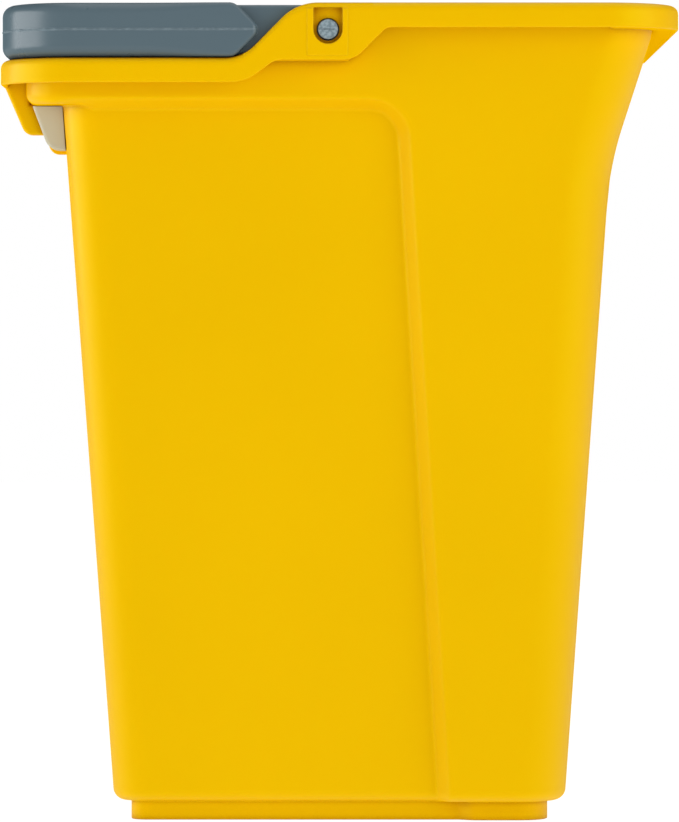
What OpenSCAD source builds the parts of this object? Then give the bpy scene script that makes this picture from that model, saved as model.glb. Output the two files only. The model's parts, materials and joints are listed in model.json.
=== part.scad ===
// Rectangular pail-style waste bin with a folding bail handle.
// Frame: Z = 0 is the floor, X = 0 and Y = 0 are the middle of the rim.
// +X is the flared end, -X is the hook end that the bail folds onto. Millimetres.

/* [Overall] */
// Height from the floor to the top of the raised rim
bin_h = 330; // [300:1:360]
// Length of the rim along X, from hook end to flared end
rim_l = 274; // [268:1:290]
// Width of the rim along Y, from pivot side to pivot side
rim_w = 300; // [270:1:340]
// Length of the body at its base, along X
base_l = 184; // [176:1:190]
// Wall thickness of the body moulding
wall = 2.5; // [2:0.1:2.8]
// Draft of the side and end walls, in degrees
draft = 3.9; // [3:0.1:4.5]

/* [Rim] */
// Overhang of the rim's skirt beyond the collar below it
rim_over = 10.4; // [10:0.1:12]
// Height of the rim's skirt
skirt_h = 10; // [8:0.5:12]
// Drop of the rim over the stretch where the folded grip lies
rim_drop = 22; // [20:0.5:24]
// Outer corner radius of the rim
rim_r = 30; // [28:1:34]
// X where the low rim starts to climb to the pivot lug
climb_x = -46; // [-50:0.5:-45]

/* [Body] */
// Height of the foot ring
foot_h = 7.7; // [6:0.1:9]
// Inset of the foot ring from the base of the walls
foot_inset = 7.5; // [6:0.5:12]
// Height of the hook end's flat ledge, where the collar meets the recessed wall
ledge_z = 290; // [284:1:292]
// Depth of the recessed panel in each side
recess_d = 6; // [4:0.5:7]
// X of the recessed panel's front edge, at the ledge
recess_x = 25.6; // [15:0.5:40]
// Outer corner radius of the full-width walls
wall_r = 20; // [18:1:22]
// Corner radius of the collar at the hook end
collar_r = 17; // [15:1:19]
// Lean of the flared flared end, in degrees
flare = 17.9; // [14:0.1:18.2]

/* [Bail] */
// X of the bail's pivot axis
pivot_x = -4.6; // [-6:0.1:0]
// Radius of the bail's pivot pins
pin_r = 4; // [3:0.1:4.4]
// Height of the grip's section
grip_h = 21.6; // [20:0.1:21.6]
// Width of the grip's section
grip_w = 20; // [16:0.5:26]
// Thickness of the bail's arms along Y
arm_t = 6.5; // [5:0.1:6.5]
// Height of the bail's arms
arm_h = 20; // [16:0.5:20]

/* [Hidden] */
$fn = 48;
eps = 0.01;
far = 400;

low_rim_z = bin_h - rim_drop;             // top of the rim under the folded grip
pivot_z = low_rim_z + 0.4 + grip_h / 2;   // the folded grip clears the rim by 0.4
half_l = rim_l / 2;
half_w = rim_w / 2;
arc_n = 6;                                // segments in each body corner
step_n = 5;                               // segments across the recess step
step_w = 8;                               // width of the recess step along the wall
recess_r = wall_r - recess_d;             // corner radius of the recessed walls
hook_draft = draft + 0.15;                // lean of the hook end wall, in degrees
flare_z1 = ledge_z - 35;                  // where the flared end starts to flare
flare_z2 = ledge_z - 10;                  // where it reaches its full lean
recess_corner_r = 14;                     // radius of the recess's top corner
ledge_in_z = ledge_z - 2.4;               // inner edge of the sloped side ledge
ledge_out_z = ledge_z + 3;                // outer edge of the sloped side ledge
lug_t = 5;                                // thickness of the pivot lug
lug_bottom_z = low_rim_z - 1;             // lower edge of the pivot lug
lug_x0 = pivot_x - 34;                    // hook-side end of the lug
slot_r = 13.2;                            // radius of the slot's end, round the pivot axis
slot_floor_z = low_rim_z + 0.4;           // floor of the slot that the arms turn in
liner_t = 1.4;                            // thickness of the slot's floor and end
pocket_r = 5.8;                           // half width of the U-shaped pin pocket
pocket_d = 3;                             // depth of the pin pocket
pin_play = 0.08;                          // radial clearance round each pin
grip_tip_x = pivot_x - 26.6;              // X where the grip's 45 degree end faces would meet
pad_y = half_w - 41;                      // inner face of each pad under the ledge
pad_w = 10;                               // width of each pad
ear_t = 4.8;                              // thickness of each ear beside a pad
ear_y = pad_y - 0.2 - ear_t;              // inner face of each ear

function smooth(t) = t * t * (3 - 2 * t);
function arc(c, r, a0, a1, n) =
    [for (i = [0:n]) let (a = a0 + (a1 - a0) * i / n) [c[0] + r * cos(a), c[1] + r * sin(a)]];

// Points of a climb from (x, z): an arc of r0, a straight at angle a, then an arc of r1
function climb(x, z, rise, r0, r1, a) =
    let (l = (rise - (r0 + r1) * (1 - cos(a))) / sin(a),
         x1 = x + r0 * sin(a) + l * cos(a) + r1 * sin(a))
    concat(arc([x, z + r0], r0, -90, a - 90, 6), arc([x1, z + rise - r1], r1, a + 90, 90, 6));

// Where the walls stand at height z
function hook_wall_x(z) = -base_l / 2 - (z - foot_h) * tan(hook_draft);
function side_wall_y(z) = half_w - rim_over - (bin_h - skirt_h - z) * tan(draft);
function flare_x(z) = let (lean = tan(flare) - tan(draft), run = flare_z2 - flare_z1, t = z - flare_z1)
    t < 0 ? 0 : t < run ? lean * t * t / (2 * run) : lean * (t - run / 2);
function flared_wall_x(z) = base_l / 2 + (z - foot_h) * tan(draft) + flare_x(z);
function recess_edge_x(z) = let (t = max(0, z - ledge_in_z + recess_corner_r))
    recess_x + (ledge_z - z) * tan(draft)
    - (recess_corner_r - sqrt(max(0, pow(recess_corner_r, 2) - pow(t, 2))));

// One half of the body's plan outline, from the flared end round to the hook end
function half_outline(x_hook, x_flared, y, r_hook, x_step, depth) = concat(
    arc([x_flared - wall_r, y - wall_r], wall_r, 0, 90, arc_n),
    [for (i = [0:step_n]) let (t = i / step_n) [x_step + step_w * (0.5 - t), y - depth * smooth(t)]],
    arc([x_hook + r_hook, y - depth - r_hook], r_hook, 90, 180, arc_n));

// The whole outline at height z, drawn in by inset. ledge runs from 0, the recessed wall, to 1, the collar
function outline(z, inset, hook_x, depth, r_hook, ahead = 0) =
    let (x_step = recess_edge_x(min(z, ledge_in_z)) + ahead,
         half = half_outline(hook_x, flared_wall_x(z), side_wall_y(z), r_hook, x_step, depth),
         all = concat(half, [for (i = [len(half) - 1:-1:0]) [half[i][0], -half[i][1]]]),
         mid = (flared_wall_x(z) + hook_x) / 2,
         kx = 1 - 2 * inset / (flared_wall_x(z) - hook_x),
         ky = 1 - inset / side_wall_y(z))
    [for (p = all) [mid + (p[0] - mid) * kx, p[1] * ky]];
function recessed(z, inset) = outline(z, inset, hook_wall_x(z), recess_d, recess_r);
function collar(z, inset) = outline(z, inset, -half_l + rim_over, 0, collar_r);
function lifted(points, z) = [for (p = points) [p[0], p[1], z]];

// The body's skin as a stack of outlines. The inner skin is the same stack, drawn in and lifted by the wall
function skin(inset, lift) = concat(
    [for (s = [[foot_h, 4.5], [foot_h + 1.4, 1.6], [foot_h + 5, 0], [flare_z1, 0], [flare_z1 + 8, 0],
               [flare_z1 + 17, 0], [flare_z2, 0], [ledge_in_z - 4, 0], [ledge_in_z - 1, 0], [ledge_in_z, 0]])
        lifted(recessed(s[0], inset + s[1]), s[0] + lift)],
    [lifted(outline(ledge_z - 0.1, inset, hook_wall_x(ledge_z), recess_d * 0.55, recess_r),
            ledge_z - 0.1 + lift),
     lifted(outline(ledge_z, inset, -half_l + rim_over + 2, recess_d * 0.5, collar_r - 2), ledge_z + lift),
     lifted(collar(ledge_out_z, inset), ledge_out_z + lift),
     lifted(collar(bin_h + lift, inset), bin_h + lift)]);

// Skins a stack of outlines that all have the same number of points
module loft(sections) {
    n = len(sections[0]);
    m = len(sections);
    sides = [for (j = [0:m - 2], i = [0:n - 1])
        let (a = j * n + i, b = j * n + (i + 1) % n, c = a + n, d = b + n) each [[a, c, d], [a, d, b]]];
    polyhedron([for (s = sections) each s],
        concat([[for (i = [0:n - 1]) i]], sides, [[for (i = [n - 1:-1:0]) (m - 1) * n + i]]), convexity = 8);
}

module rounded_slab(l, w, r, z0, z1) {
    translate([0, 0, z0]) linear_extrude(z1 - z0) union() {
        for (x = [-1, 1], y = [-1, 1]) translate([x * (l / 2 - r), y * (w / 2 - r)]) circle(r);
        square([l - 2 * r, w], center = true);
        square([l, w - 2 * r], center = true);
    }
}

// Extrudes a side-view shape, drawn in X and Z, across the bin from y0 to y1
module across(y0, y1) {
    translate([0, y1, 0]) rotate([90, 0, 0]) linear_extrude(y1 - y0) children();
}

// The rim's top edge in side view
function rim_top(drop) = [for (p = concat([[-far, low_rim_z]],
    climb(climb_x, low_rim_z, rim_drop, 17, 20, 45), [[far, bin_h]])) [p[0], p[1] - drop]];
// The skirt's lower edge in side view, with the deeper stretch round the pivot lug
skirt_bottom = concat([[-far, low_rim_z - skirt_h]],
    climb(pivot_x - 39.2, low_rim_z - skirt_h, skirt_h - 1, 18, 8, 37),
    climb(pivot_x + 6, lug_bottom_z, bin_h - skirt_h - lug_bottom_z, 10.7, 5, 45), [[far, bin_h - skirt_h]]);

module above_rim() { polygon(concat(rim_top(0), [[far, far * 2], [-far, far * 2]])); }
module below_skirt() { polygon(concat(skirt_bottom, [[far, 0], [-far, 0]])); }
module rim_plate_band() {
    upper = rim_top(0);
    polygon(concat(rim_top(wall), [for (i = [len(upper) - 1:-1:0]) upper[i]]));
}

module rim() {
    difference() {
        rounded_slab(rim_l, rim_w, rim_r, low_rim_z - skirt_h - 2, bin_h);
        rounded_slab(rim_l - 2 * wall, rim_w - 2 * wall, rim_r - wall, 0, bin_h + 1);
        across(-far, far) below_skirt();
        across(-far, far) above_rim();
    }
    intersection() {
        rounded_slab(rim_l - eps, rim_w - eps, rim_r, low_rim_z - skirt_h, bin_h);
        across(-far, far) rim_plate_band();
    }
    // the rim is solid round the flared end
    intersection() {
        rounded_slab(rim_l - 1, rim_w - 1, rim_r - 0.5, bin_h - skirt_h + 0.2, bin_h - 0.5);
        translate([half_l - rim_r, -far, 0]) cube(2 * far);
    }
}

// Side view of the space that each arm turns in
module slot_profile() {
    difference() {
        union() {
            translate([pivot_x, pivot_z]) circle(slot_r);
            translate([pivot_x, pivot_z]) square([slot_r, far]);
            translate([climb_x, slot_floor_z]) square([pivot_x - climb_x, far]);
        }
        translate([-far, 0]) square([2 * far, slot_floor_z]);
    }
}

// Side view of the floor and curved end that close that space off from the hollow rim
module slot_liner_profile() {
    difference() {
        union() {
            translate([pivot_x, pivot_z]) circle(slot_r + liner_t);
            translate([pivot_x, pivot_z]) square([slot_r + liner_t, bin_h - pivot_z - 1]);
            translate([lug_x0, slot_floor_z - liner_t]) square([pivot_x - lug_x0, 2 * liner_t]);
        }
        slot_profile();
        translate([-far, 0]) square([2 * far, slot_floor_z - liner_t]);
        above_rim();
    }
}

// The thick plate that each pin runs in, with the slot's floor and end behind it
module pivot_lug() {
    plate_end_x = pivot_x + 18;
    difference() {
        translate([lug_x0, half_w - lug_t, lug_bottom_z])
            cube([plate_end_x - lug_x0, lug_t - 1, bin_h - lug_bottom_z - 1]);
        across(0, far) above_rim();
        across(0, far) below_skirt();
    }
    across(half_w - rim_over - 1, half_w - 2) slot_liner_profile();
}

module pin_pocket() {
    translate([pivot_x, half_w + 1, pivot_z]) rotate([90, 0, 0]) {
        cylinder(r = pocket_r, h = pocket_d + 1);
        translate([-pocket_r, 0, 0]) cube([2 * pocket_r, bin_h - 2.1 - pivot_z, pocket_d + 1]);
    }
    translate([pivot_x, half_w + 1, pivot_z]) rotate([90, 0, 0]) cylinder(r = pin_r + pin_play, h = lug_t + 2);
}

// The ear that braces the rim against the hook end wall at one corner, and the peg that its pad sits on
module hook_ear() {
    top = low_rim_z - skirt_h + 2;
    low = ledge_z - 11.5;
    wall_in = hook_wall_x(ledge_z) + 1;
    collar_in = -half_l + rim_over + 1;
    across(ear_y, ear_y + ear_t) {
        polygon(concat([[-half_l, top]], arc([-half_l + 11.8, low + 4], 4, 207, 270, 5),
            [[wall_in, low], [wall_in, ledge_z + 1], [collar_in, ledge_z + 1], [collar_in, top]]));
        translate([-half_l + 1.5, top - 1]) square([rim_over - 0.5, skirt_h - 2.5]);
    }
    translate([hook_wall_x(ledge_z - 9) - 4.5, pad_y + 1.5, ledge_z - 10.5]) cube([6, 5, 3]);
}

// The step in the foot ring is shallower than the panel's, and lies further forward
module foot_ring() {
    function foot(inset) = outline(foot_h, inset, hook_wall_x(foot_h), recess_d * 0.65, recess_r, 10);
    linear_extrude(foot_h + wall) difference() {
        polygon(foot(foot_inset));
        polygon(foot(foot_inset + 3));
    }
}

module bin_body() {
    color("gold") {
        difference() {
            union() {
                loft(skin(0, 0));
                rim();
                for (s = [0, 1]) mirror([0, s, 0]) pivot_lug();
            }
            loft(skin(wall, wall));
            across(-far, far) above_rim();
            across(-half_w + lug_t, half_w - lug_t) slot_profile();
            for (s = [0, 1]) mirror([0, s, 0]) pin_pocket();
        }
        for (s = [0, 1]) mirror([0, s, 0]) hook_ear();
        foot_ring();
    }
}

// Side view of the grip, which ends in two 45 degree faces with rounded shoulders and a rounded tip
module bail_side_profile() {
    z0 = pivot_z - grip_h / 2;
    z1 = pivot_z + grip_h / 2;
    shoulder_r = 5;
    tip_r = 4;
    shoulder_x = grip_tip_x - grip_h / 2 - shoulder_r * tan(22.5);
    polygon(concat([[-far, z0]],
        arc([shoulder_x, z0 + shoulder_r], shoulder_r, -90, -45, 4),
        arc([grip_tip_x - tip_r * sqrt(2), pivot_z], tip_r, -45, 45, 6),
        arc([shoulder_x, z1 - shoulder_r], shoulder_r, 45, 90, 4),
        [[-far, z1]]));
}

module bail_handle() {
    color("slategray") {
        intersection() {
            difference() {
                rounded_slab(rim_l - 1, rim_w - 1, rim_r - 0.5, pivot_z - grip_h, pivot_z + grip_h);
                rounded_slab(rim_l - 1 - 2 * grip_w, rim_w - 1 - 2 * grip_w,
                             max(4, rim_r - 0.5 - grip_w), 0, far);
            }
            across(-far, far) bail_side_profile();
        }
        for (s = [0, 1]) mirror([0, s, 0]) {
            arm_y = half_w - lug_t - 0.5 - arm_t;
            translate([0, arm_y + arm_t, 0]) rotate([90, 0, 0]) linear_extrude(arm_t) union() {
                translate([pivot_x, pivot_z]) circle(arm_h / 2);
                translate([grip_tip_x - grip_h, pivot_z - arm_h / 2])
                    square([pivot_x - grip_tip_x + grip_h, arm_h]);
            }
            translate([pivot_x, half_w - 1, pivot_z]) rotate([90, 0, 0]) cylinder(r = pin_r, h = lug_t);
        }
    }
}

// A pale pad that fits under the ledge beside an ear, with a pocket for the peg
module hook_pad() {
    color("silver") difference() {
        across(pad_y, pad_y + pad_w) polygon(concat(
            [[hook_wall_x(ledge_z) - 0.15, ledge_z - 0.2], [-half_l + 12.7, ledge_z - 0.2]],
            arc([-half_l + 22.9, ledge_z - 13.2], 4.8, 205, 270, 5),
            [[hook_wall_x(ledge_z - 18) - 0.15, ledge_z - 18]]));
        translate([hook_wall_x(ledge_z - 9) - 4.6, pad_y + 1.4, ledge_z - 10.6]) cube([10, 5.2, 3.2]);
    }
}

bin_body();
bail_handle();
hook_pad();  // hook_pad_left
mirror([0, 1, 0]) hook_pad();  // hook_pad_right
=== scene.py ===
"""Looks of the waste bin: body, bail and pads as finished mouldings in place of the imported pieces."""
import json
import math

import bmesh
import bpy
import numpy as np
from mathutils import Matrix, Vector


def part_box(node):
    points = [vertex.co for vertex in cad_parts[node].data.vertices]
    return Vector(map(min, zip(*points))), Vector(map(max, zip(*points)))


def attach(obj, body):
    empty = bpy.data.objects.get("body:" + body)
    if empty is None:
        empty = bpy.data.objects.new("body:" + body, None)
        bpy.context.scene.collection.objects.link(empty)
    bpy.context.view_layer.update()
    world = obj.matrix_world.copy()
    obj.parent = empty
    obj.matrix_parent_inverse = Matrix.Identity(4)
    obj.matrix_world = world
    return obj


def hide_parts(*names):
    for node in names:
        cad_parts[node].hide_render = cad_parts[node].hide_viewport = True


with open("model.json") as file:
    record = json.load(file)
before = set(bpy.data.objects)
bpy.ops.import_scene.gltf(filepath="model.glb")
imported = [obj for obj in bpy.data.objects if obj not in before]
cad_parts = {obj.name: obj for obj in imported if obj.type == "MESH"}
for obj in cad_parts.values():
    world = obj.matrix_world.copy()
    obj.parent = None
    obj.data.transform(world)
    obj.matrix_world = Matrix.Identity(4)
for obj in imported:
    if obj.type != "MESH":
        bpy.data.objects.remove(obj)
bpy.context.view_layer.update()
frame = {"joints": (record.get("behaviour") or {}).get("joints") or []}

# ---------------------------------------------------------------- sizes, in millimetres
MM = 0.001
body_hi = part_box("bin_body")[1]
grip_lo, grip_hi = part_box("bail_handle")
joint = frame["joints"][0]

half_l = body_hi.x / MM             # half the rim's length
half_w = body_hi.y / MM             # half the rim's width
bin_h = body_hi.z / MM              # floor to raised rim
pivot_x = joint["pos_m"][0] / MM    # the axis of the bail's pins
pivot_z = joint["pos_m"][2] / MM

wall = 2.5                          # thickness of the body moulding
draft = math.tan(math.radians(3.9))         # lean of the walls
hook_draft = math.tan(math.radians(4.05))   # lean of the hook end wall
boss_rise = 0.25                    # how far the boss round each pin stands off the skirt
face_y = half_w - boss_rise         # outer face of the skirt
rim_over = 10.4                     # overhang of the rim beyond the collar
rim_r = 30.0                        # corner radius of the rim
rim_drop = 22.0                     # drop of the rim under the folded grip
skirt_h = 10.0                      # depth of the skirt under the rim
low_z = bin_h - rim_drop            # top of the low rim
top_round = 3.3                     # rounding of the rim's outer top edge
edge_round = 0.6                    # rounding of the skirt's lower edge

foot_h = 7.7                        # height of the body's underside above the floor
foot_inset = 7.5                    # how far the foot ring stands in from the walls
foot_t = 3.0                        # thickness of the foot ring
foot_step = 0.65                    # depth of the step in the foot ring, as a share of recess_d
foot_step_shift = 10.0              # how far that step lies ahead of the panel's
base_round = 5.0                    # rounding of the body's lower edge
base_half_l = 92.0                  # half the body's length at its base
ledge_z = 290.0                     # ledge between the collar and the recessed walls
collar_x = half_l - rim_over        # ends of the upright collar between the ledge and the rim
collar_r = 17.0                     # corner radii of the collar, the full-width walls and the recessed ones
wall_r = 20.0
recess_r = 14.0
recess_d = 6.0                      # depth of the recessed side panels
band_slope = 0.061                  # lean of the recess's front edge
band_x0 = 42.9                      # where that edge would meet the floor
band_w = 7.0                        # width of the sloped step along it
ledge_w = 5.8                       # width of the sloped step along the ledge
band_corner_r = 13.6                # radius of the recess's top corner
skin_shift = 0.4                    # shift of the step for each millimetre that a skin is drawn in
band_reach = 6.0                    # half the strip of fine mesh that follows the step
fine_z = ledge_z - 30               # below this the step is straight
flare_z1 = 250.0                    # where the flared end starts to flare, and reaches its full lean
flare_z2 = 282.0
flare_lean = math.tan(math.radians(17.9))

lug_x0 = pivot_x - 34               # ends of the thick plate that each pin runs in
lug_x1 = pivot_x + 18
lug_t = 5.0                         # thickness of that plate
lug_bottom_z = low_z - 1
climb_x = -46.0                     # where the low rim starts to climb
climb_r0 = 17.0                     # lower and upper radii of that climb
climb_r1 = 20.0
lug_climb_x = pivot_x - 39.2        # where the skirt's lower edge starts to climb, each side of the pin
flared_climb_x = pivot_x + 6
slot_r = 13.2                       # radius of the arm slot's end about the pivot
slot_floor_z = low_z + 0.4
liner_t = 1.4                       # thickness of the slot's inner wall
pocket_r = 5.8                      # half width, depth and top of the U-shaped pin pocket
pocket_d = 3.0
pocket_top_z = bin_h - 2.1
pin_r = 4.0
hole_r = 4.5                        # radius of the hole round the pin, with play that shows as a dark ring


def lerp(a, b, t):
    return a + (b - a) * t


def smooth(t):
    t = np.clip(t, 0, 1)
    return t * t * (3 - 2 * t)


def quarter(n, first=0):
    """Angles of a quarter turn in n steps, from step number first on."""
    return [math.radians(90 * k / n) for k in range(first, n + 1)]


def arc(cx, cz, r, a0, a1, n):
    angles = [math.radians(lerp(a0, a1, i / n)) for i in range(n + 1)]
    return [(cx + r * math.cos(a), cz + r * math.sin(a)) for a in angles]


# ---------------------------------------------------------------- the rim's edges in side view
def climb(x, x0, z0, rise, r0, r1, degrees):
    """Height of an edge that climbs by rise from (x0, z0): an arc of r0, a straight, then an arc of r1."""
    s, c = math.sin(math.radians(degrees)), math.cos(math.radians(degrees))
    xa = x0 + r0 * s
    xb = xa + (rise - (r0 + r1) * (1 - c)) / s * c
    xc = xb + r1 * s
    lower = z0 + r0 - np.sqrt(np.maximum(r0**2 - (x - x0) ** 2, 0))
    straight = z0 + r0 * (1 - c) + (x - xa) * s / c
    upper = z0 + rise - r1 + np.sqrt(np.maximum(r1**2 - (xc - x) ** 2, 0))
    return np.select([x < x0, x < xa, x < xb, x < xc], [z0 + 0 * x, lower, straight, upper], z0 + rise)


def rim_top(x):
    """Height of the rim's top edge, which climbs between the folded grip's ends and the lugs."""
    return climb(x, climb_x, low_z, rim_drop, climb_r0, climb_r1, 45)


def skirt_bottom(x):
    """Height of the skirt's lower edge, which climbs to the lugs' edge and then to the raised skirt's."""
    to_lug = climb(x, lug_climb_x, low_z - skirt_h, skirt_h - 1, 18, 8, 37)
    rise = bin_h - skirt_h - lug_bottom_z
    return to_lug + climb(x, flared_climb_x, 0, rise, 10.7, 5, 45)


# ---------------------------------------------------------------- the body's walls
def hook_wall_x(z):
    return -base_half_l - (z - foot_h) * hook_draft


def side_wall_y(z):
    return half_w - rim_over - (bin_h - skirt_h - z) * draft


def flared_wall_x(z):
    lean = flare_lean - draft
    run = flare_z2 - flare_z1
    t = z - flare_z1
    bend = np.where(t < 0, 0, np.where(t < run, lean * t * t / (2 * run), lean * (t - run / 2)))
    return np.minimum(base_half_l + (z - foot_h) * draft + bend, collar_x)


def band_centre(z):
    """X of the middle of the sloped step at the recess's front edge."""
    return band_x0 - band_slope * z


def step(t):
    """A sloped step from 0 to 1 with a rounded edge at each end."""
    f = 0.27
    t = np.clip(t, 0, 1)
    slope = 1 / (1 - f)
    low = slope * t * t / (2 * f)
    high = 1 - slope * (1 - t) ** 2 / (2 * f)
    return np.where(t < f, low, np.where(t > 1 - f, high, slope * (t - f / 2)))


def recess_depth(x, z):
    """How far the side wall stands back at (x, z): the full depth inside the recess's rounded outline."""
    across = x - band_centre(z) + band_corner_r
    up = z - ledge_z + band_corner_r
    corner = np.hypot(np.maximum(across, 0), np.maximum(up, 0))
    distance = np.minimum(np.maximum(across, up), 0) + corner - band_corner_r
    share = np.where(across > 0, np.maximum(across, 1e-6), 0) / np.maximum(corner, 1e-6)
    width = np.where(corner > 1e-6, np.sqrt(share**2 * (band_w**2 - ledge_w**2) + ledge_w**2), band_w)
    return recess_d * step(0.5 - distance / width)


# ---------------------------------------------------------------- stations round half the body, +X to -X
# kind is each station's stretch, and share is how far along it the station lies, from 0 to 1
STRETCHES = [("flared_end", 12), ("flared_corner", 16), ("ahead", 10), ("band", 26), ("lug", 72),
             ("behind", 14), ("hook_corner", 16), ("hook_end", 12)]
kind = np.concatenate([[k] * n for k, (_, n) in enumerate(STRETCHES)] + [[len(STRETCHES) - 1]])
share = np.concatenate([np.arange(n) / n for _, n in STRETCHES] + [[1.0]])
PART = {name: kind == k for k, (name, _) in enumerate(STRETCHES)}
COUNT = len(kind)
lug_end_x = climb_x - 2.0           # hook-side end of the finely divided stretch


def half_ring(z, x_hook, x_flared, side, r_hook, r_flared, recess=None, hook_cut=0.0):
    """Points of half an outline at heights z: sides at -y, with the recess that a function gives cut in."""
    given = (z, x_hook, x_flared, side, r_hook, r_flared, hook_cut)
    z, x_hook, x_flared, side, r_hook, r_flared, hook_cut = (
        np.broadcast_to(np.asarray(v, float), COUNT) for v in given)
    x = np.zeros(COUNT)
    y = np.zeros(COUNT)
    turn = share * math.pi / 2
    band = band_centre(np.minimum(z, ledge_z - 16))
    hook_side = side - hook_cut
    p = PART["flared_end"]
    x[p] = x_flared[p]
    y[p] = -((side - r_flared) * share)[p]
    p = PART["flared_corner"]
    x[p] = (x_flared - r_flared + r_flared * np.cos(turn))[p]
    y[p] = -(side - r_flared + r_flared * np.sin(turn))[p]
    p = PART["ahead"]
    x[p] = lerp(x_flared - r_flared, band + band_reach, share)[p]
    p = PART["band"]
    x[p] = (band + band_reach - 2 * band_reach * share)[p]
    p = PART["lug"]
    x[p] = lerp(band - band_reach, lug_end_x, share)[p]
    p = PART["behind"]
    x[p] = lerp(lug_end_x, x_hook + r_hook, share)[p]
    p = PART["ahead"] | PART["band"] | PART["lug"] | PART["behind"]
    y[p] = -(side - (recess(x, z) if recess else 0))[p]
    p = PART["hook_corner"]
    x[p] = (x_hook + r_hook - r_hook * np.sin(turn))[p]
    y[p] = -(hook_side - r_hook + r_hook * np.cos(turn))[p]
    p = PART["hook_end"]
    x[p] = x_hook[p]
    y[p] = -((hook_side - r_hook) * (1 - share))[p]
    return np.stack([x, y, z], 1)


station_x = half_ring(bin_h, -collar_x, collar_x, half_w, rim_r, rim_r)[:, 0]
TOP = rim_top(station_x)            # heights at each station of the rim's top
BOTTOM = skirt_bottom(station_x)    # of the skirt's lower edge, and of the rim's underside inside the skirt
FLARED = PART["flared_end"] | PART["flared_corner"]
UNDER = np.where(FLARED, BOTTOM + 0.02, TOP - wall)     # the rim is solid round the flared end
UNDER_ROUND = np.where(FLARED, 0.01, 1.0)
SKIRT_ROUND = np.where(FLARED, 0.01, edge_round)
END_BLEND = np.where(PART["hook_end"], 1.0, np.where(PART["hook_corner"], smooth(share / 0.35), 0.0))


def wall_ring(z, inset, extra=0.0, shift=0.0, share=1.0):
    """A ring of the walls at heights z, drawn in by inset, with the step moved by shift and scaled."""
    def cut(x, h):
        return share * recess_depth(x + shift, h - shift)
    o = inset + extra
    x_hook = np.where(np.asarray(z) > ledge_z, -collar_x, hook_wall_x(z))
    r_hook = np.where(np.asarray(z) > ledge_z, collar_r, recess_r)
    hook_cut = cut(np.full(COUNT, -half_l), np.broadcast_to(np.asarray(z, float), COUNT))
    return half_ring(z, x_hook + o, flared_wall_x(z) - o, side_wall_y(z) - o, np.maximum(r_hook - o, 1.5),
                     wall_r - np.minimum(o, 18), cut, hook_cut)


def ledge_rings(inset):
    """The ledge: a sloped step along the sides, and a flat shelf with rounded edges across the hook end."""
    shift = skin_shift * inset
    outer_r = 4.5
    inner_r = 1.2
    flat_z = ledge_z
    c1 = (-collar_x + outer_r, flat_z + outer_r)
    c2 = (hook_wall_x(flat_z) - inner_r, flat_z - inner_r)
    end = [(c1[0] - outer_r + inset, c1[1] + 0.6)]
    end += arc(c1[0], c1[1], outer_r - inset, 180, 270, 6)
    end += [(lerp(c1[0], c2[0], k / 5), flat_z + inset) for k in range(1, 5)]
    end += arc(c2[0], c2[1], inner_r + inset, 90, 0, 5)
    last = flat_z - 4.0
    end.append((hook_wall_x(last) + inset, last))
    top = end[0][1]

    def step_depth(x, h):
        return recess_depth(x + shift, h - shift)

    rings = []
    for k, (end_x, end_z) in enumerate(end):
        f = k / (len(end) - 1)
        side_z = lerp(top, last, f)
        z = lerp(side_z, end_z, END_BLEND)
        cut = recess_depth(np.full(COUNT, -half_l), np.full(COUNT, side_z - shift))
        corner_r = lerp(collar_r, recess_r, f) - inset
        x_flared = flared_wall_x(z) - inset
        side = side_wall_y(z) - inset
        rings.append(half_ring(z, end_x, x_flared, side, corner_r, wall_r - inset, step_depth, cut))
    return rings, top, last


def skin(inset):
    """Rings of one skin of the walls, from just under the rim down to the base's rounding."""
    ledge, top, last = ledge_rings(inset)
    collar = [lerp(UNDER - UNDER_ROUND, top, k / 8) for k in range(8)]
    rings = [wall_ring(z, inset, shift=skin_shift * inset) for z in collar]
    rings += ledge
    fine = np.arange(last - 0.7, fine_z, -0.8)
    coarse = np.linspace(fine_z, foot_h + base_round, 20)
    for z in np.concatenate([fine, coarse]):
        rings.append(wall_ring(z, inset, shift=skin_shift * inset))
    return rings


def base_rings():
    """The rounded lower edge, the foot ring and the underside."""
    z0 = foot_h + base_round
    rings = []
    for a in quarter(8, 1):
        rings.append(wall_ring(z0, 0, base_round * (1 - math.cos(a))))
        rings[-1][:, 2] = z0 - base_round * math.sin(a)
    c = 0.5
    bevel = 0.15
    outer = foot_inset
    inner = foot_inset + foot_t
    profile = [(outer - c, foot_h), (outer - bevel, foot_h - bevel), (outer, foot_h - c),
               (outer, c), (outer + bevel, bevel), (outer + c, 0),
               (inner - c, 0), (inner - bevel, bevel), (inner, c),
               (inner, foot_h - c), (inner + c, foot_h)]
    for inset, z in profile:
        ring = wall_ring(z0, 0, inset, shift=-foot_step_shift, share=foot_step)
        ring[:, 2] = z
        rings.append(ring)
    return rings


def floor_rings():
    """The inner floor's rounded edge, from the wall in to the flat floor."""
    r = 4.0
    z0 = foot_h + base_round
    rings = []
    for a in quarter(6, 1):
        ring = wall_ring(z0, wall, r * (1 - math.cos(a)), shift=skin_shift * wall)
        ring[:, 2] = foot_h + wall + r * (1 - math.sin(a))
        rings.append(ring)
    return rings


def rim_ring(inset, z):
    return half_ring(z, -half_l + inset, half_l - inset, face_y - inset, rim_r - inset, rim_r - inset)


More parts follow.
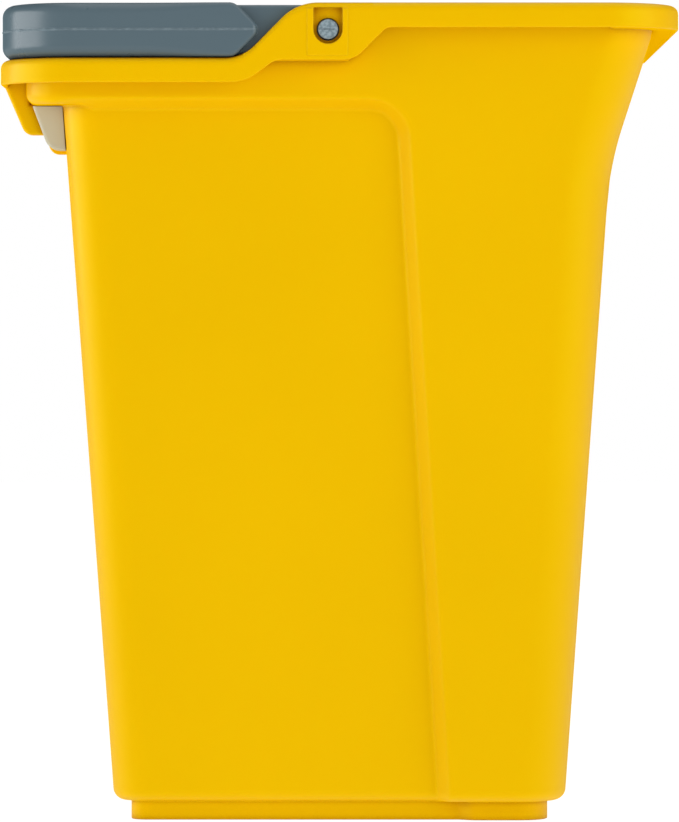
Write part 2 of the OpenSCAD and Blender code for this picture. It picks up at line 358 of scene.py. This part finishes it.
def rim_rings():
    """The rim from the inner wall's top edge, over the top, down the skirt and up inside it."""
    rings = []
    lip = 1.0
    for a in quarter(4):
        z = TOP - lip + lip * math.sin(a)
        rings.append(wall_ring(z, wall, -lip * (1 - math.cos(a)), shift=skin_shift * wall))
    for a in quarter(6):
        rings.append(rim_ring(top_round * (1 - math.sin(a)), TOP - top_round * (1 - math.cos(a))))
    for k in range(1, 4):
        rings.append(rim_ring(0, lerp(TOP - top_round, BOTTOM + edge_round, k / 3)))
    for a in quarter(3, 1):
        rings.append(rim_ring(edge_round * (1 - math.cos(a)), BOTTOM + edge_round * (1 - math.sin(a))))
    for a in quarter(3):
        z = BOTTOM + SKIRT_ROUND * (1 - math.cos(a))
        rings.append(rim_ring(wall - SKIRT_ROUND * (1 - math.sin(a)), z))
    for a in quarter(3):
        z = UNDER - UNDER_ROUND + UNDER_ROUND * math.sin(a)
        rings.append(rim_ring(wall + UNDER_ROUND * (1 - math.cos(a)), z))
    for a in quarter(3):
        z = UNDER - UNDER_ROUND * (1 - math.cos(a))
        rings.append(wall_ring(z, 0, -UNDER_ROUND * (1 - math.sin(a))))
    return rings


# ---------------------------------------------------------------- mesh helpers
def finish_mesh(bm, name):
    bmesh.ops.remove_doubles(bm, verts=bm.verts, dist=0.004 * MM)
    bmesh.ops.dissolve_degenerate(bm, edges=bm.edges, dist=0.004 * MM)
    bmesh.ops.recalc_face_normals(bm, faces=bm.faces)
    mesh = bpy.data.meshes.new(name)
    bm.to_mesh(mesh)
    bm.free()
    obj = bpy.data.objects.new(name, mesh)
    bpy.context.scene.collection.objects.link(obj)
    return obj


def loft(name, rings):
    """A closed solid skinned over rings of points, each in millimetres with the same count."""
    bm = bmesh.new()
    rows = [[bm.verts.new(Vector(p) * MM) for p in ring] for ring in rings]
    n = len(rows[0])
    for a, b in zip(rows, rows[1:]):
        for i in range(n):
            j = (i + 1) % n
            bm.faces.new((a[i], a[j], b[j], b[i]))
    bm.faces.new(rows[0])
    bm.faces.new(rows[-1])
    return finish_mesh(bm, name)


def whole(half):
    """The full ring of a half ring: its mirror image joined on, with the two end points shared."""
    mirrored = half[-2:0:-1] * np.array([1, -1, 1])
    return np.concatenate([half, mirrored])


def box_outline(x0, x1, z0, z1):
    return [(x0, z0), (x1, z0), (x1, z1), (x0, z1)]


def inset_outline(points, d):
    """The outline drawn in by d, for points that run anticlockwise."""
    p = np.array(points, float)
    before = p - np.roll(p, 1, 0)
    after = np.roll(p, -1, 0) - p
    before /= np.maximum(np.linalg.norm(before, axis=1, keepdims=True), 1e-9)
    after /= np.maximum(np.linalg.norm(after, axis=1, keepdims=True), 1e-9)
    normal = np.stack([-before[:, 1] - after[:, 1], before[:, 0] + after[:, 0]], 1)
    length = np.maximum((normal**2).sum(1, keepdims=True), 0.6)
    return p + normal * (2 * d / length)


def end_rows(edge, beyond=0.0):
    """(step in, inset) pairs of a prism's end. A positive edge is rounded, a negative one flares out."""
    if not edge:
        return [(0.0, 0.0)]
    rows = [(abs(edge) * (1 - math.cos(a)), edge * (1 - math.sin(a))) for a in quarter(3)]
    return [(-beyond, edge)] + rows if beyond else rows


def prism(name, outline, y0, y1, edge0=0.0, edge1=0.0, beyond=0.0):
    """An outline in X and Z, extruded from y0 to y1, with each end rounded or flared by its edge."""
    turn = 1 if y1 > y0 else -1
    rows = [(y0 + turn * step_in, d) for step_in, d in end_rows(edge0, beyond)]
    rows += [(y1 - turn * step_in, d) for step_in, d in reversed(end_rows(edge1))]
    return loft(name, [[(x, y, z) for x, z in inset_outline(outline, d)] for y, d in rows])


def on_sides(make):
    """The solids that make(name, face) gives, with face turning a depth behind each side face into a Y."""
    return [make("near", lambda depth: depth - half_w), make("far", lambda depth: half_w - depth)]


def combine(obj, tool, operation):
    """obj joined with, or cut by, tool, which is then gone."""
    m = obj.modifiers.new("combine", "BOOLEAN")
    m.object = tool
    m.operation = operation
    m.solver = "MANIFOLD"
    graph = bpy.context.evaluated_depsgraph_get()
    mesh = bpy.data.meshes.new_from_object(obj.evaluated_get(graph))
    obj.modifiers.clear()
    old = obj.data
    obj.data = mesh
    bpy.data.meshes.remove(old)
    bpy.data.objects.remove(tool)


def join(obj, *tools):
    for tool in tools:
        combine(obj, tool, "UNION")


def cut(obj, *tools):
    for tool in tools:
        combine(obj, tool, "DIFFERENCE")


def rounded(points, radii, n=5):
    """The outline with each corner rounded by its radius."""
    out = []
    count = len(points)
    for i, (p, r) in enumerate(zip(points, radii)):
        if not r:
            out.append(p)
            continue
        p = np.array(p, float)
        a = np.array(points[i - 1], float) - p
        b = np.array(points[(i + 1) % count], float) - p
        a /= np.linalg.norm(a)
        b /= np.linalg.norm(b)
        half = math.acos(np.clip(a @ b, -1, 1)) / 2
        centre = p + (a + b) / np.linalg.norm(a + b) * r / math.sin(half)
        p0 = p + a * r / math.tan(half) - centre
        p1 = p + b * r / math.tan(half) - centre
        a0 = math.atan2(p0[1], p0[0])
        sweep = (math.atan2(p1[1], p1[0]) - a0 + math.pi) % (2 * math.pi) - math.pi
        out += [tuple(centre + r * np.array([math.cos(a0 + sweep * k / n), math.sin(a0 + sweep * k / n)]))
                for k in range(n + 1)]
    return out


def smooth_shade(obj, degrees=32):
    bm = bmesh.new()
    bm.from_mesh(obj.data)
    bmesh.ops.remove_doubles(bm, verts=bm.verts, dist=0.003 * MM)
    bmesh.ops.dissolve_degenerate(bm, edges=bm.edges, dist=0.003 * MM)
    bmesh.ops.recalc_face_normals(bm, faces=bm.faces)
    bm.to_mesh(obj.data)
    bm.free()
    obj.data.shade_smooth()
    obj.data.set_sharp_from_angle(angle=math.radians(degrees))
    m = obj.modifiers.new("face weighted normals", "WEIGHTED_NORMAL")
    m.keep_sharp = True
    m.weight = 50


# ---------------------------------------------------------------- the body's lugs, pockets and ears
def lug_plate_outline():
    xs = np.linspace(lug_x0, lug_x1, 60)
    lower = [(x, z + 0.3) for x, z in zip(xs, skirt_bottom(xs))]
    upper = [(x, z - 0.5) for x, z in zip(xs[::-1], rim_top(xs[::-1]))]
    return lower + upper


def slot_arc(r, z):
    """The slot's curved end at radius r about the pivot, from height z up to the pivot's height."""
    start = -math.degrees(math.asin((pivot_z - z) / r))
    return arc(pivot_x, pivot_z, r, start, 0, 12)


def slot_outline():
    high = bin_h + 5
    end = slot_arc(slot_r, slot_floor_z)
    return [(climb_x, slot_floor_z)] + end + [(pivot_x + slot_r, high), (climb_x, high)]


def liner_outline():
    outer_r = slot_r + liner_t
    base = slot_floor_z - liner_t
    top = bin_h - 1
    inner = [(pivot_x + 4, top), (pivot_x + 4, slot_floor_z + 2), (lug_x0, slot_floor_z + 0.3)]
    return [(lug_x0, base)] + slot_arc(outer_r, base) + [(pivot_x + outer_r, top)] + inner


def pocket_outline():
    x0, x1 = pivot_x - pocket_r, pivot_x + pocket_r
    r = 0.6
    top = arc(x1 - r, pocket_top_z - r, r, 0, 90, 3) + arc(x0 + r, pocket_top_z - r, r, 90, 180, 3)
    return arc(pivot_x, pivot_z, pocket_r, 180, 360, 28) + top


def boss_outline():
    """The boss that stands off the skirt round the pin's pocket."""
    return box_outline(pivot_x - 8.4, pivot_x + 8.0, lug_bottom_z + 1.6, bin_h - 2.4)


def circle_outline(r, n=48):
    return arc(pivot_x, pivot_z, r, 0, 360 * (n - 1) / n, n - 1)


# the ear at each corner of the hook end: a plate under the rim that ends in a rounded corner
pad_lo, pad_hi = (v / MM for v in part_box("hook_pad_left"))
ear_t = 4.8
ear_y1 = pad_lo.y - 0.2             # face next to the pad
ear_y0 = ear_y1 - ear_t             # face towards the middle of the bin
ear_low_z = ledge_z - 11.5
ear_low_x = -half_l + 9.3           # foot of its sloping outer edge


def ear_outline():
    top = low_z - wall - 0.6
    wall_x = float(hook_wall_x(ledge_z)) + 1
    collar = -collar_x + 1
    points = [(-half_l, low_z - skirt_h + 2), (ear_low_x, ear_low_z), (wall_x, ear_low_z),
              (wall_x, ledge_z + 1), (collar, ledge_z + 1), (collar, top + 1), (-half_l + 1.5, top + 1),
              (-half_l + 1.5, low_z - skirt_h + 2)]
    return rounded(points, [0, 4.5, 0, 0, 0, 0, 0, 0])


def peg_outline(play):
    """The peg that holds a pad, or with some play the pocket for it."""
    middle_z = ledge_z - 9
    half_h = 1.5
    reach = 4.5
    x0 = float(hook_wall_x(middle_z)) - reach - play
    return box_outline(x0, x0 + 6 + play, middle_z - half_h - play, middle_z + half_h + play)


def make_body():
    inner = skin(wall)[::-1]
    rings = floor_rings()[::-1] + inner + rim_rings() + skin(0) + base_rings()
    body = loft("bin_body_moulding", [whole(r) for r in rings])
    join(body, *on_sides(lambda n, y: prism(n, lug_plate_outline(), y(1.2), y(lug_t))))
    join(body, *on_sides(lambda n, y: prism(n, liner_outline(), y(3.0), y(rim_over + 1.0))))
    join(body, *on_sides(lambda n, y: prism(n, boss_outline(), y(0), y(1.5), 0.35)))
    for s in (-1, 1):
        join(body, prism("ear", ear_outline(), s * ear_y1, s * ear_y0, 1.3, 0.8))
        join(body, prism("peg", peg_outline(0), s * (pad_lo.y + 1.5), s * (pad_lo.y + 6.5)))
    slot_y = half_w - lug_t
    cut(body, prism("slot", slot_outline(), -slot_y, slot_y, 0.4, 0.4))
    cut(body, *on_sides(lambda n, y: prism(n, pocket_outline(), y(0), y(pocket_d), -0.5, 0.4, beyond=1.0)))
    cut(body, *on_sides(lambda n, y: prism(n, circle_outline(hole_r), y(1.0), y(lug_t + 1))))
    smooth_shade(body)
    return body


# ---------------------------------------------------------------- the bail
grip_w = 20.0
grip_h = (grip_hi.z - grip_lo.z) / MM
grip_half_w = half_w - 0.5          # the grip's side faces, measured from the middle of the rim
grip_r = rim_r - 0.5                # corner radius of the grip
grip_tip_x = pivot_x - 26.6         # where the 45 degree end faces would meet
tip_r = 4.0                         # radii of the ends' tip and shoulders
shoulder_r = 5.0
grip_round = 4.6                    # rounding of the grip's long edges
end_round = 2.0                     # rounding of the edges of its pointed ends
arm_t = 6.5                         # thickness and height of the arms
arm_h = 20.0
arm_depth = lug_t + 0.5             # depth of the arm's outer face behind the box's side face
seam_rise = 0.3                     # height of the moulding seam
grip_l = -grip_lo.x / MM - seam_rise    # the grip's end face, measured from the middle of the rim
nose_x = grip_tip_x - tip_r * (math.sqrt(2) - 1)
shoulder_x = grip_tip_x - grip_h / 2 - shoulder_r * math.tan(math.radians(22.5))
blend_l = 36.0                      # length over which the grip's rounding becomes its ends' rounding


def end_half_height(x):
    """Half the height of the grip's pointed end at x: a shoulder arc, a 45 degree slope and a tip arc."""
    half = grip_h / 2
    k = math.tan(math.radians(22.5))
    bend_x = grip_tip_x - half
    s0, s1 = bend_x - shoulder_r * k, bend_x + shoulder_r * k * math.sqrt(0.5)
    tip_x = grip_tip_x - tip_r * math.sqrt(2)
    t1 = tip_x + tip_r * math.sqrt(0.5)
    shoulder = half - shoulder_r + math.sqrt(max(shoulder_r**2 - max(x - s0, 0) ** 2, 0))
    nose = math.sqrt(max(tip_r**2 - max(x - tip_x, 0) ** 2, 0))
    if x < s0:
        return half
    if x < s1:
        return shoulder
    if x < t1:
        return grip_tip_x - x
    return nose


def seam(t):
    """Height of the moulding seam at distance t along it: a thin ridge that comes and goes."""
    wave = math.sin(0.9 * t) + math.sin(0.37 * t + 1) + 0.8 * math.sin(2.3 * t + 2)
    return seam_rise * (0.75 + 0.09 * wave)


def grip_section(x, y, nx, ny, half, pull, ru, rv, t):
    """One ring of the grip: outer face at (x, y) with outward normal (nx, ny), drawn in by pull."""
    ridge = seam(t)
    fit = min(1.0, max(half - rv, 0.0) / 0.8)
    flat = [(-0.9, 0), (-0.34, 0), (-0.14, 1), (0.14, 1), (0.34, 0), (0.9, 0)]
    bend = [(ru * (1 - math.cos(a)), half - rv * (1 - math.sin(a))) for a in quarter(6)]
    outer = [(pull - ridge * up * fit, v * fit) for v, up in flat]
    inner = [(grip_w - u, -v) for u, v in outer]
    top = [(pull + u, v) for u, v in bend] + [(grip_w - pull - u, v) for u, v in reversed(bend)]
    bottom = [(grip_w - u, -v) for u, v in top]
    return [(x - nx * u, y - ny * u, pivot_z + v) for u, v in outer + top + inner + bottom]


def grip_arm_rings(side):
    """The grip's straight part along one side, from its pointed end to its corner."""
    run = nose_x - shoulder_x + 4
    ends = [nose_x - 0.02 - run * (1 - math.cos(a)) for a in quarter(40)]
    along = list(np.linspace(ends[-1], -grip_l + grip_r, 26))[1:]
    rings = []
    for x in ends + along:
        half = max(end_half_height(x), 0.06)
        r = lerp(grip_round, end_round, float(smooth((x - shoulder_x + blend_l) / blend_l)))
        short = max(end_round - (nose_x - x), 0)
        pull = end_round - math.sqrt(end_round**2 - short**2)
        rings.append(grip_section(x, side * grip_half_w, 0, side, half, pull, r, min(r, half * 0.98), -x))
    return rings


def grip_corner_rings(side):
    """The grip's round corner on one side."""
    rings = []
    for a in quarter(24, 1):
        nx = -math.sin(a)
        ny = side * math.cos(a)
        x = -grip_l + grip_r + grip_r * nx
        y = side * (grip_half_w - grip_r) + grip_r * ny
        t = 100 + grip_r * a
        rings.append(grip_section(x, y, nx, ny, grip_h / 2, 0, grip_round, grip_round, t))
    return rings


def grip_rings():
    near, far = (grip_arm_rings(side) + grip_corner_rings(side) for side in (-1, 1))
    ys = np.linspace(-grip_half_w + grip_r, grip_half_w - grip_r, 60)[1:-1]
    bar = [grip_section(-grip_l, y, -1, 0, grip_h / 2, 0, grip_round, grip_round, 160 + y) for y in ys]
    return near + bar + far[::-1]


def arm_outline():
    r = arm_h / 2
    x0 = grip_tip_x - grip_h
    return arc(pivot_x, pivot_z, r, -90, 90, 28) + [(x0, pivot_z + r), (x0, pivot_z - r)]


def nick_outline():
    """A slit across the end of the pin, where the parting line crosses it."""
    return box_outline(pivot_x - 2.6, pivot_x + 2.6, pivot_z - 0.25, pivot_z + 0.25)


def make_bail():
    bail = loft("bail_handle_moulding", grip_rings())
    arm_end = arm_depth + arm_t
    join(bail, *on_sides(lambda n, y: prism(n, arm_outline(), y(arm_depth), y(arm_end), 1.4, 1.4)))
    join(bail, *on_sides(lambda n, y: prism(n, circle_outline(pin_r), y(1.0), y(arm_depth + 1), 0.45)))
    cut(bail, *on_sides(lambda n, y: prism(n, nick_outline(), y(0.5), y(1.3))))
    smooth_shade(bail)
    return bail


# ---------------------------------------------------------------- the pads under the hook end's ledge
pad_top_z = ledge_z - 0.2
pad_low_z = ledge_z - 18
pad_top_x = -half_l + 11.95         # the sloping outer edge at its top and at its foot
pad_low_x = -half_l + 19.4
pad_gap = 0.15                      # gap between the pad and the wall


def pad_wall_x(z):
    return float(hook_wall_x(z)) - pad_gap


def pad_outline():
    """The pad, with 2 mm too much on the sides that lie on the wall and under the ledge."""
    top = pad_top_z + 2
    points = [(pad_wall_x(pad_low_z) + 2, pad_low_z), (pad_wall_x(top) + 2, top), (pad_top_x, top),
              (pad_low_x, pad_low_z)]
    return rounded(points, [0, 0, 1.8, 6.0])


def body_side_outline():
    """What lies beyond the pad's faces on the wall and under the ledge."""
    low = pad_low_z - 5
    top = pad_top_z + 8
    x0 = pad_wall_x(low)
    return [(x0, low), (x0 + 20, low), (x0 + 20, top), (-half_l, top), (-half_l, pad_top_z),
            (pad_wall_x(pad_top_z), pad_top_z)]


def make_pad(name, side):
    pad = prism(name, pad_outline(), side * pad_hi.y, side * pad_lo.y, 1.3, 0.8)
    cut(pad, prism("body", body_side_outline(), side * (pad_hi.y + 3), side * (pad_lo.y - 3)))
    cut(pad, prism("pocket", peg_outline(0.1), side * (pad_lo.y + 1.4), side * (pad_lo.y + 6.6)))
    smooth_shade(pad)
    return pad


# ---------------------------------------------------------------- materials
def rgb(r, g, b):
    """A linear colour from an sRGB one given in 0 to 255."""
    def linear(v):
        v /= 255
        return v / 12.92 if v <= 0.04045 else ((v + 0.055) / 1.055) ** 2.4
    return (linear(r), linear(g), linear(b), 1.0)


class Graph:
    """The node tree of a material or a world, with a short name for each kind of node used here."""

    def __init__(self, owner):
        owner.use_nodes = True
        self.nodes = owner.node_tree.nodes
        self.links = owner.node_tree.links
        self.place = self.add("TexCoord").outputs

    def add(self, kind):
        return self.nodes.new("ShaderNode" + kind)

    def feed(self, value, socket):
        """Link an output to socket, or set socket to a plain value."""
        if isinstance(value, bpy.types.NodeSocket):
            self.links.new(value, socket)
        else:
            socket.default_value = value

    def noise(self, scale, detail):
        n = self.add("TexNoise")
        for key, v in (("Scale", scale), ("Detail", detail), ("Vector", self.place["Object"])):
            self.feed(v, n.inputs[key])
        return n.outputs["Fac"]

    def ramp(self, value, low, high, out_low, out_high):
        n = self.add("MapRange")
        ends = (("From Min", low), ("From Max", high), ("To Min", out_low), ("To Max", out_high))
        for key, v in (("Value", value),) + ends:
            self.feed(v, n.inputs[key])
        return n.outputs["Result"]

    def mix(self, factor, a, b):
        n = self.add("Mix")
        n.data_type = "RGBA"
        for key, v in (("Factor", factor), (6, a), (7, b)):
            self.feed(v, n.inputs[key])
        return n.outputs[2]

    def maths(self, operation, a, b=0.0):
        n = self.add("Math")
        n.operation = operation
        self.feed(a, n.inputs[0])
        self.feed(b, n.inputs[1])
        return n.outputs[0]


def on_edges(g, bevel):
    """1 where the surface bends sharply, and 0 elsewhere."""
    away = g.add("VectorMath")
    away.operation = "DOT_PRODUCT"
    g.feed(bevel.outputs["Normal"], away.inputs[0])
    g.feed(g.add("NewGeometry").outputs["Normal"], away.inputs[1])
    return g.ramp(away.outputs["Value"], 0.995, 0.9, 0, 1)


def painted_hollow_shade(g):
    """Painted shade: 0.9 far inside a hollow, and 0 on open faces."""
    hollow = g.add("AmbientOcclusion")
    hollow.samples = 4
    hollow.inputs["Distance"].default_value = 6 * MM
    return g.ramp(hollow.outputs["AO"], 0.79, 0.45, 0, 0.9)


def on_pin_ends(g):
    """A broken pattern on the end faces of the bail's pins, and 0 elsewhere."""
    split = g.add("SeparateXYZ")
    g.feed(g.place["Object"], split.inputs[0])
    out = g.maths("ABSOLUTE", split.outputs["Y"])
    at_side = g.ramp(out, (half_w - 1.6) * MM, (half_w - 1.4) * MM, 0, 1)
    at_pin = g.ramp(split.outputs["X"], (pivot_x - 6) * MM, (pivot_x - 5.9) * MM, 0, 1)
    broken = g.ramp(g.noise(900.0, 4), 0.4, 0.6, 0.3, 0.95)
    return g.maths("MULTIPLY", g.maths("MULTIPLY", at_side, at_pin), broken)


def moulded_plastic(name, base, highlight_and_rubbed_colour, roughness, peel, grain, level, edge_highlight=0.35, tint=(1, 1, 1, 1),
                    scatter=0.0, hollow_shade_colour=None, scuffed=False):
    """Injection moulded plastic: faint flow marks in colour and gloss, orange peel, and edges painted paler
    as a painted highlight.

    The colour for hollows is painted shade laid into them, and scuffed is true where the ends of the pins
    are rubbed pale.
    """
    material = bpy.data.materials.new(name)
    g = Graph(material)
    shader = g.nodes["Principled BSDF"]
    shade = tuple(c * 0.965 for c in base[:3]) + (1.0,)
    colour = g.mix(g.ramp(g.noise(9.0, 3), 0.3, 0.7, 0, 1), base, shade)
    # painted shade: the colour is darkened in hollows, where shade falls, as ambient occlusion finds them
    if hollow_shade_colour:
        colour = g.mix(painted_hollow_shade(g), colour, hollow_shade_colour)
    if scuffed:
        colour = g.mix(on_pin_ends(g), colour, highlight_and_rubbed_colour)
    # painted highlight: sharp edges, found by the bevel normal, are painted paler in a broken pattern
    bevel = g.add("Bevel")
    bevel.samples = 4
    bevel.inputs["Radius"].default_value = 0.6 * MM
    broken = g.ramp(g.noise(420.0, 4), 0.42, 0.62, 0.4 * edge_highlight, edge_highlight)
    colour = g.mix(g.maths("MULTIPLY", on_edges(g, bevel), broken), colour, highlight_and_rubbed_colour)
    bumps = g.add("Bump")
    bumps.inputs["Strength"].default_value = peel
    bumps.inputs["Distance"].default_value = 0.1 * MM
    g.feed(g.noise(grain, 3), bumps.inputs["Height"])
    g.feed(bevel.outputs["Normal"], bumps.inputs["Normal"])
    facing = g.add("LayerWeight").outputs["Facing"]
    g.feed(colour, shader.inputs["Base Color"])
    gloss = g.ramp(g.noise(60.0, 5), 0.3, 0.7, roughness - 0.04, roughness + 0.05)
    g.feed(gloss, shader.inputs["Roughness"])
    g.feed(bumps.outputs["Normal"], shader.inputs["Normal"])
    g.feed(g.ramp(facing, 0.5, 0.86, level, 0.0), shader.inputs["Specular IOR Level"])
    g.feed(tint, shader.inputs["Specular Tint"])
    if scatter:
        g.feed(scatter, shader.inputs["Subsurface Weight"])
        g.feed((1.0, 0.6, 0.1), shader.inputs["Subsurface Radius"])
        g.feed(1.2 * MM, shader.inputs["Subsurface Scale"])
    return material


def by_ray(g, camera, glossy, other):
    """A value that differs for rays from the camera, for glossy rays and for all others."""
    def choose(test, yes, no):
        n = g.add("Mix")
        for key, v in (("Factor", test), ("A", no), ("B", yes)):
            g.feed(v, n.inputs[key])
        return n.outputs["Result"]

    path = g.add("LightPath").outputs
    return choose(path["Is Camera Ray"], camera, choose(path["Is Glossy Ray"], glossy, other))


def floor_material():
    """A pale matt floor like a light table, that can be looked through from below."""
    material = bpy.data.materials.new("pale_floor")
    g = Graph(material)
    matt = g.nodes["Principled BSDF"]

    def mixed(factor, a, b):
        n = g.add("MixShader")
        for k, v in enumerate((factor, a, b)):
            g.feed(v, n.inputs[k])
        return n.outputs[0]

    g.feed((0.9, 0.9, 0.9, 1), matt.inputs["Base Color"])
    g.feed(0.9, matt.inputs["Roughness"])
    g.feed(0.0, matt.inputs["Specular IOR Level"])
    glow = g.add("Emission")
    g.feed(by_ray(g, 1.12, 0.45, 1.2), glow.inputs["Strength"])
    lit = mixed(0.88, matt.outputs[0], glow.outputs[0])
    below = g.add("NewGeometry").outputs["Backfacing"]
    clear = g.add("BsdfTransparent").outputs[0]
    g.feed(mixed(below, lit, clear), g.nodes["Material Output"].inputs["Surface"])
    return material


# each material's second colour paints its sharp edges paler as a painted highlight, and for the grey it
# also marks the rubbed pin ends
# the last colour given to the yellow is painted shade for its hollows
YELLOW = moulded_plastic("yellow_polypropylene", rgb(241, 187, 0), rgb(250, 212, 40), 0.34, 0.10, 900.0,
                         level=0.45, edge_highlight=0.3, tint=(0.6, 1, 0.03, 1), scatter=0.12, hollow_shade_colour=rgb(176, 100, 0))
GREY = moulded_plastic("grey_blue_plastic", rgb(82, 102, 111), rgb(150, 168, 176), 0.3, 0.12, 1100.0,
                       level=0.65, edge_highlight=0.7, scuffed=True)
PALE = moulded_plastic("pale_plastic", rgb(194, 187, 160), rgb(222, 214, 200), 0.45, 0.14, 800.0, level=0.4)


def dress(obj, material, node, body_name):
    obj.data.materials.clear()
    obj.data.materials.append(material)
    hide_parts(node)
    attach(obj, body_name)


dress(make_body(), YELLOW, "bin_body", "bin")
dress(make_bail(), GREY, "bail_handle", "bail")
dress(make_pad("hook_pad_left_moulding", 1), PALE, "hook_pad_left", "bin")
dress(make_pad("hook_pad_right_moulding", -1), PALE, "hook_pad_right", "bin")

# ---------------------------------------------------------------- floor, light and camera
scene = bpy.context.scene


def make_floor():
    mesh = bpy.data.meshes.new("floor")
    r = 6.0
    mesh.from_pydata([(-r, -r, 0), (r, -r, 0), (r, r, 0), (-r, r, 0)], [], [(0, 1, 2, 3)])
    floor = bpy.data.objects.new("floor", mesh)
    scene.collection.objects.link(floor)
    floor.location.z = -0.05 * MM
    mesh.materials.append(floor_material())
    return floor


def soft_light(name, place, size_x, size_y, power):
    data = bpy.data.lights.new(name, "AREA")
    data.shape = "RECTANGLE"
    data.size = size_x
    data.size_y = size_y
    data.energy = power
    light = bpy.data.objects.new(name, data)
    light.location = place
    aim = Vector((0, 0, 0.17)) - Vector(place)
    light.rotation_euler = aim.to_track_quat("-Z", "Y").to_euler()
    scene.collection.objects.link(light)
    return light


make_floor()
soft_light("left_softbox", (-1.6, -0.28, 0.3), 1.8, 1.6, 24)
soft_light("right_softbox", (1.3, -1.1, 0.3), 1.5, 1.6, 14)
soft_light("top_softbox", (0.4, 0.1, 1.75), 2.4, 1.6, 10)


def studio_world():
    """White behind the object, and a dimmer light on it that falls off towards the back."""
    world = bpy.data.worlds.new("studio")
    g = Graph(world)
    split = g.add("SeparateXYZ")
    g.feed(g.place["Generated"], split.inputs[0])
    front = g.ramp(split.outputs["Y"], -0.2, 0.3, 0.39, 0.12)
    background = g.nodes["Background"]
    g.feed(by_ray(g, 1.0, front, front), background.inputs["Strength"])
    g.feed((1, 1, 1, 1), background.inputs["Color"])
    return world


scene.world = studio_world()
scene.view_settings.view_transform = "Standard"

eye_z = 187.5                       # height of the camera
view_d = 2200.0                     # its distance from the near side of the rim
frame_h = 328.1                     # height of the picture at that distance
frame_z = 166.7                     # height of the picture's middle there
camera_data = bpy.data.cameras.new("camera")
camera_data.sensor_width = 36
camera_data.lens = 36 * view_d / frame_h
camera_data.shift_y = (frame_z - eye_z) / frame_h
camera_data.clip_start = 0.05
camera = bpy.data.objects.new("camera", camera_data)
camera.location = (0, -(half_w + view_d) * MM, eye_z * MM)
camera.rotation_euler = (math.radians(90), 0, 0)
scene.collection.objects.link(camera)
scene.camera = camera
